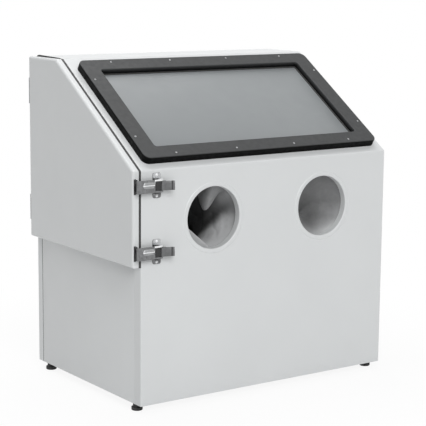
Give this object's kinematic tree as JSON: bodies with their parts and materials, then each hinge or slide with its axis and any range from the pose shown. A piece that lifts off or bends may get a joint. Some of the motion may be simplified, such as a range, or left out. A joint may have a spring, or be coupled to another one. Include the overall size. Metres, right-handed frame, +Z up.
{
  "type": "sandblast cabinet",
  "caption": "Bench sandblast cabinet: sheet-metal body with a sloping framed window, round arm holes with gloves, and a side door held by draw latches.",
  "frame": {"origin": "on the floor under the middle of the overall outline", "axes": "+X to the right along the front, +Y to the rear, +Z up"},
  "size_m": [0.7, 0.528, 0.747],
  "materials": {
    "paint": "light grey satin powder coat",
    "black_rubber": "matt black rubber",
    "glove_rubber": "matt grey rubber",
    "window_frame": "matt dark grey moulding",
    "glass": "faintly hazed clear glass",
    "bright_steel": "bright zinc plated steel",
    "plain_steel": "plain steel",
    "gun_metal": "cast aluminium",
    "ceramic": "white fired ceramic",
    "black_plastic": "black moulded plastic",
    "air_hose": "blue rubber hose",
    "brass": "turned brass",
    "lamp_lens": "white diffuser"
  },
  "bodies": {
    "cabinet": {"front_shell": "paint", "rear_panel": "paint", "left_panel": "paint", "right_panel": "paint", "base_pan": "paint", "arm_ring_left": "paint", "arm_ring_right": "paint", "dust_baffle": "paint", "lamp_housing": "paint", "foot_front_left": "black_rubber", "foot_front_right": "black_rubber", "foot_rear_left": "black_rubber", "foot_rear_right": "black_rubber", "window_gasket": "black_rubber", "media_hose": "black_rubber", "glove_left": "glove_rubber", "glove_right": "glove_rubber", "window_frame": "window_frame", "window_glass": "glass", "window_screws": "bright_steel", "glove_clamps": "bright_steel", "hinge_leaf_upper": "bright_steel", "hinge_leaf_lower": "bright_steel", "latch_base_upper": "bright_steel", "latch_base_lower": "bright_steel", "latch_rivets": "bright_steel", "foot_studs": "plain_steel", "grid_rails": "plain_steel", "work_grid": "plain_steel", "hopper": "plain_steel", "pickup_tube": "plain_steel", "gun_holder": "plain_steel", "gun_trigger_pin": "plain_steel", "hinge_pins": "plain_steel", "latch_pivots": "plain_steel", "dust_outlet": "plain_steel", "gun_body": "gun_metal", "gun_nozzle": "ceramic", "gun_cap": "black_plastic", "hose_clips": "black_plastic", "cable_gland": "black_plastic", "air_hose": "air_hose", "air_inlet": "brass", "lamp_lens": "lamp_lens"},
    "door": {"door_pan": "paint", "door_liner": "paint", "door_seal": "black_rubber", "door_leaf_upper": "bright_steel", "door_leaf_lower": "bright_steel", "keeper_upper": "plain_steel", "keeper_lower": "plain_steel", "keeper_rivets": "bright_steel"},
    "upper_lever": {"lever_upper": "bright_steel", "hook_pin_upper": "plain_steel"},
    "upper_hook": {"hook_upper": "bright_steel"},
    "lower_lever": {"lever_lower": "bright_steel", "hook_pin_lower": "plain_steel"},
    "lower_hook": {"hook_lower": "bright_steel"},
    "trigger": {"gun_trigger": "black_plastic"}
  },
  "joints": [
    {"name": "door_hinge", "type": "hinge", "parent": "cabinet", "child": "door", "pos_m": [-0.332, 0.222, 0.535], "axis": [0, 0, -1], "range_deg": [0, 115]},
    {"name": "upper_lever_swing", "type": "hinge", "parent": "cabinet", "child": "upper_lever", "pos_m": [-0.296, -0.252, 0.498], "axis": [0, 0, -1], "range_deg": [0, 110]},
    {"name": "upper_hook_swing", "type": "hinge", "parent": "upper_lever", "child": "upper_hook", "pos_m": [-0.283, -0.2514, 0.498], "axis": [0, 0, -1], "range_deg": [-110, 0]},
    {"name": "lower_lever_swing", "type": "hinge", "parent": "cabinet", "child": "lower_lever", "pos_m": [-0.296, -0.252, 0.355], "axis": [0, 0, -1], "range_deg": [0, 110]},
    {"name": "lower_hook_swing", "type": "hinge", "parent": "lower_lever", "child": "lower_hook", "pos_m": [-0.283, -0.2514, 0.355], "axis": [0, 0, -1], "range_deg": [-110, 0]},
    {"name": "gun_trigger_pull", "type": "hinge", "parent": "cabinet", "child": "trigger", "pos_m": [0.077, 0.1925, 0.518], "axis": [0, -1, 0], "range_deg": [0, 15], "stiffness_Nm_per_rad": 0.3}
  ],
  "couplings": [
    {"joint": "upper_hook_swing", "follows": "upper_lever_swing", "ratio": -1},
    {"joint": "lower_hook_swing", "follows": "lower_lever_swing", "ratio": -1}
  ]
}
